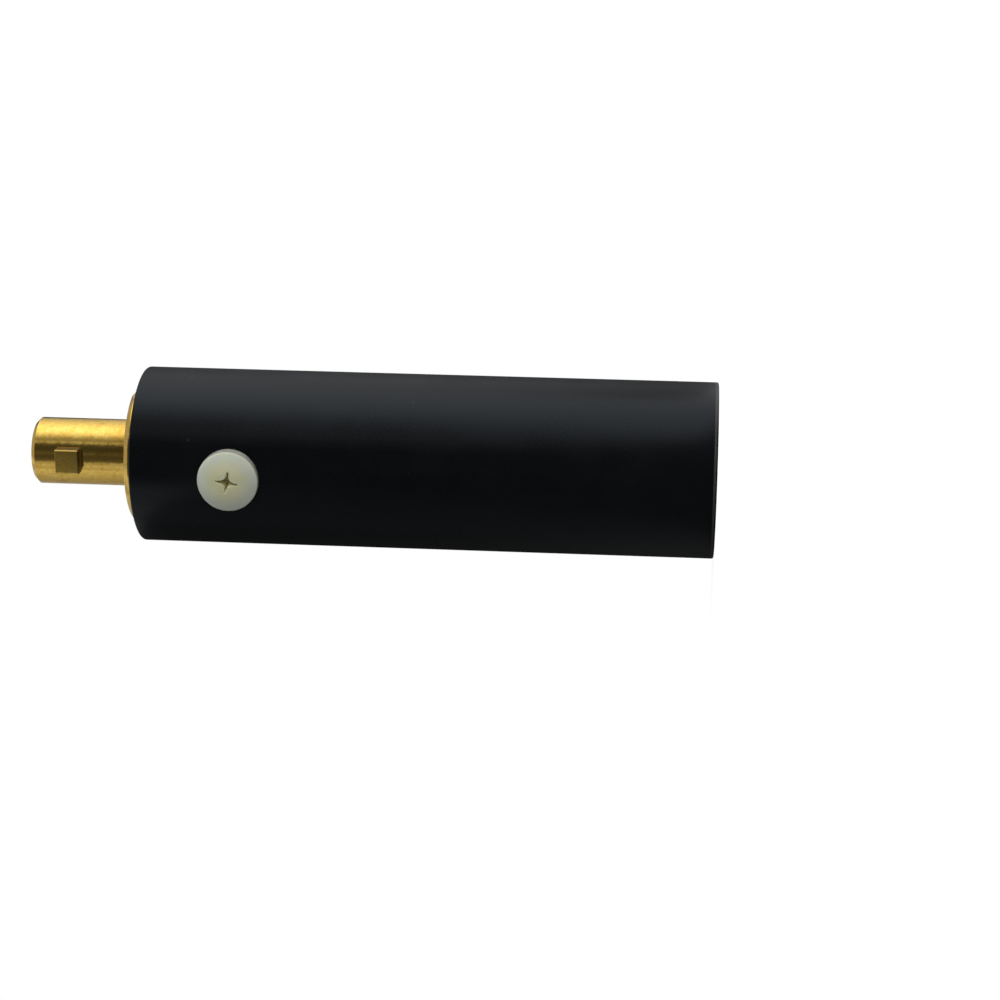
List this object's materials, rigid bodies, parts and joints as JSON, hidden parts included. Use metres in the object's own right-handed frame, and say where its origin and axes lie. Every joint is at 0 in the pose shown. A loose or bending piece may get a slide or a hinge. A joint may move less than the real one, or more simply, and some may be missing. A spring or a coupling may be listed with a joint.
{
  "type": "welding cable adapter",
  "caption": "Brass adapter from a 13 mm keyed twist-lock welding plug to a threaded torch cable socket, inside a black insulating sleeve held by a nylon screw.",
  "frame": {"origin": "centre of the brass shoulder face, on the axis, where the plug pin leaves the body", "axes": "+Z along the axis, out along the plug pin; the sleeve's open end is at the bottom, where the part stands. -Y towards the key and the screw, +X and -X towards the wrench flats."},
  "size_m": [0.034, 0.0363, 0.1328],
  "materials": {
    "brass": "turned, bright, with fine tool marks",
    "black_plastic": "satin black",
    "white_nylon": "natural moulded nylon, slightly translucent"
  },
  "bodies": {
    "root": {"brass_adapter": "brass", "insulating_sleeve": "black_plastic", "sleeve_screw": "white_nylon"}
  },
  "joints": []
}
